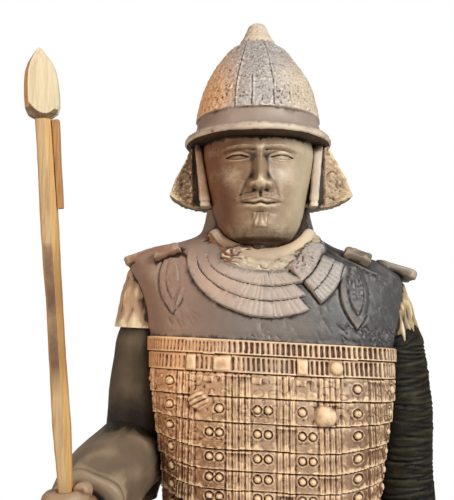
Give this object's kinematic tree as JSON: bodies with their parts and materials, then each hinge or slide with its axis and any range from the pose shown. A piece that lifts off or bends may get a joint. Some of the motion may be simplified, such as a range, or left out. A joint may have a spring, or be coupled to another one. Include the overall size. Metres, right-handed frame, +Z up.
{
  "type": "terracotta warrior statue",
  "caption": "Life-size fired-clay warrior in helmet and lamellar armour, standing on a low plinth with a wooden spear upright in the right hand.",
  "frame": {"origin": "centre of the plinth's underside", "axes": "+Z up; the figure faces -Y, its right hand and the spear are on the -X side"},
  "size_m": [0.5727, 0.5115, 1.866],
  "materials": {
    "terracotta": "satin",
    "plinth_clay": "matte",
    "spear_wood": "satin",
    "splint_wood": "satin",
    "spear_head_wood": "satin"
  },
  "bodies": {
    "root": {"warrior_figure": "terracotta", "plinth": "plinth_clay", "spear_shaft": "spear_wood", "spear_splint": "splint_wood", "spear_head": "spear_head_wood"}
  },
  "joints": []
}
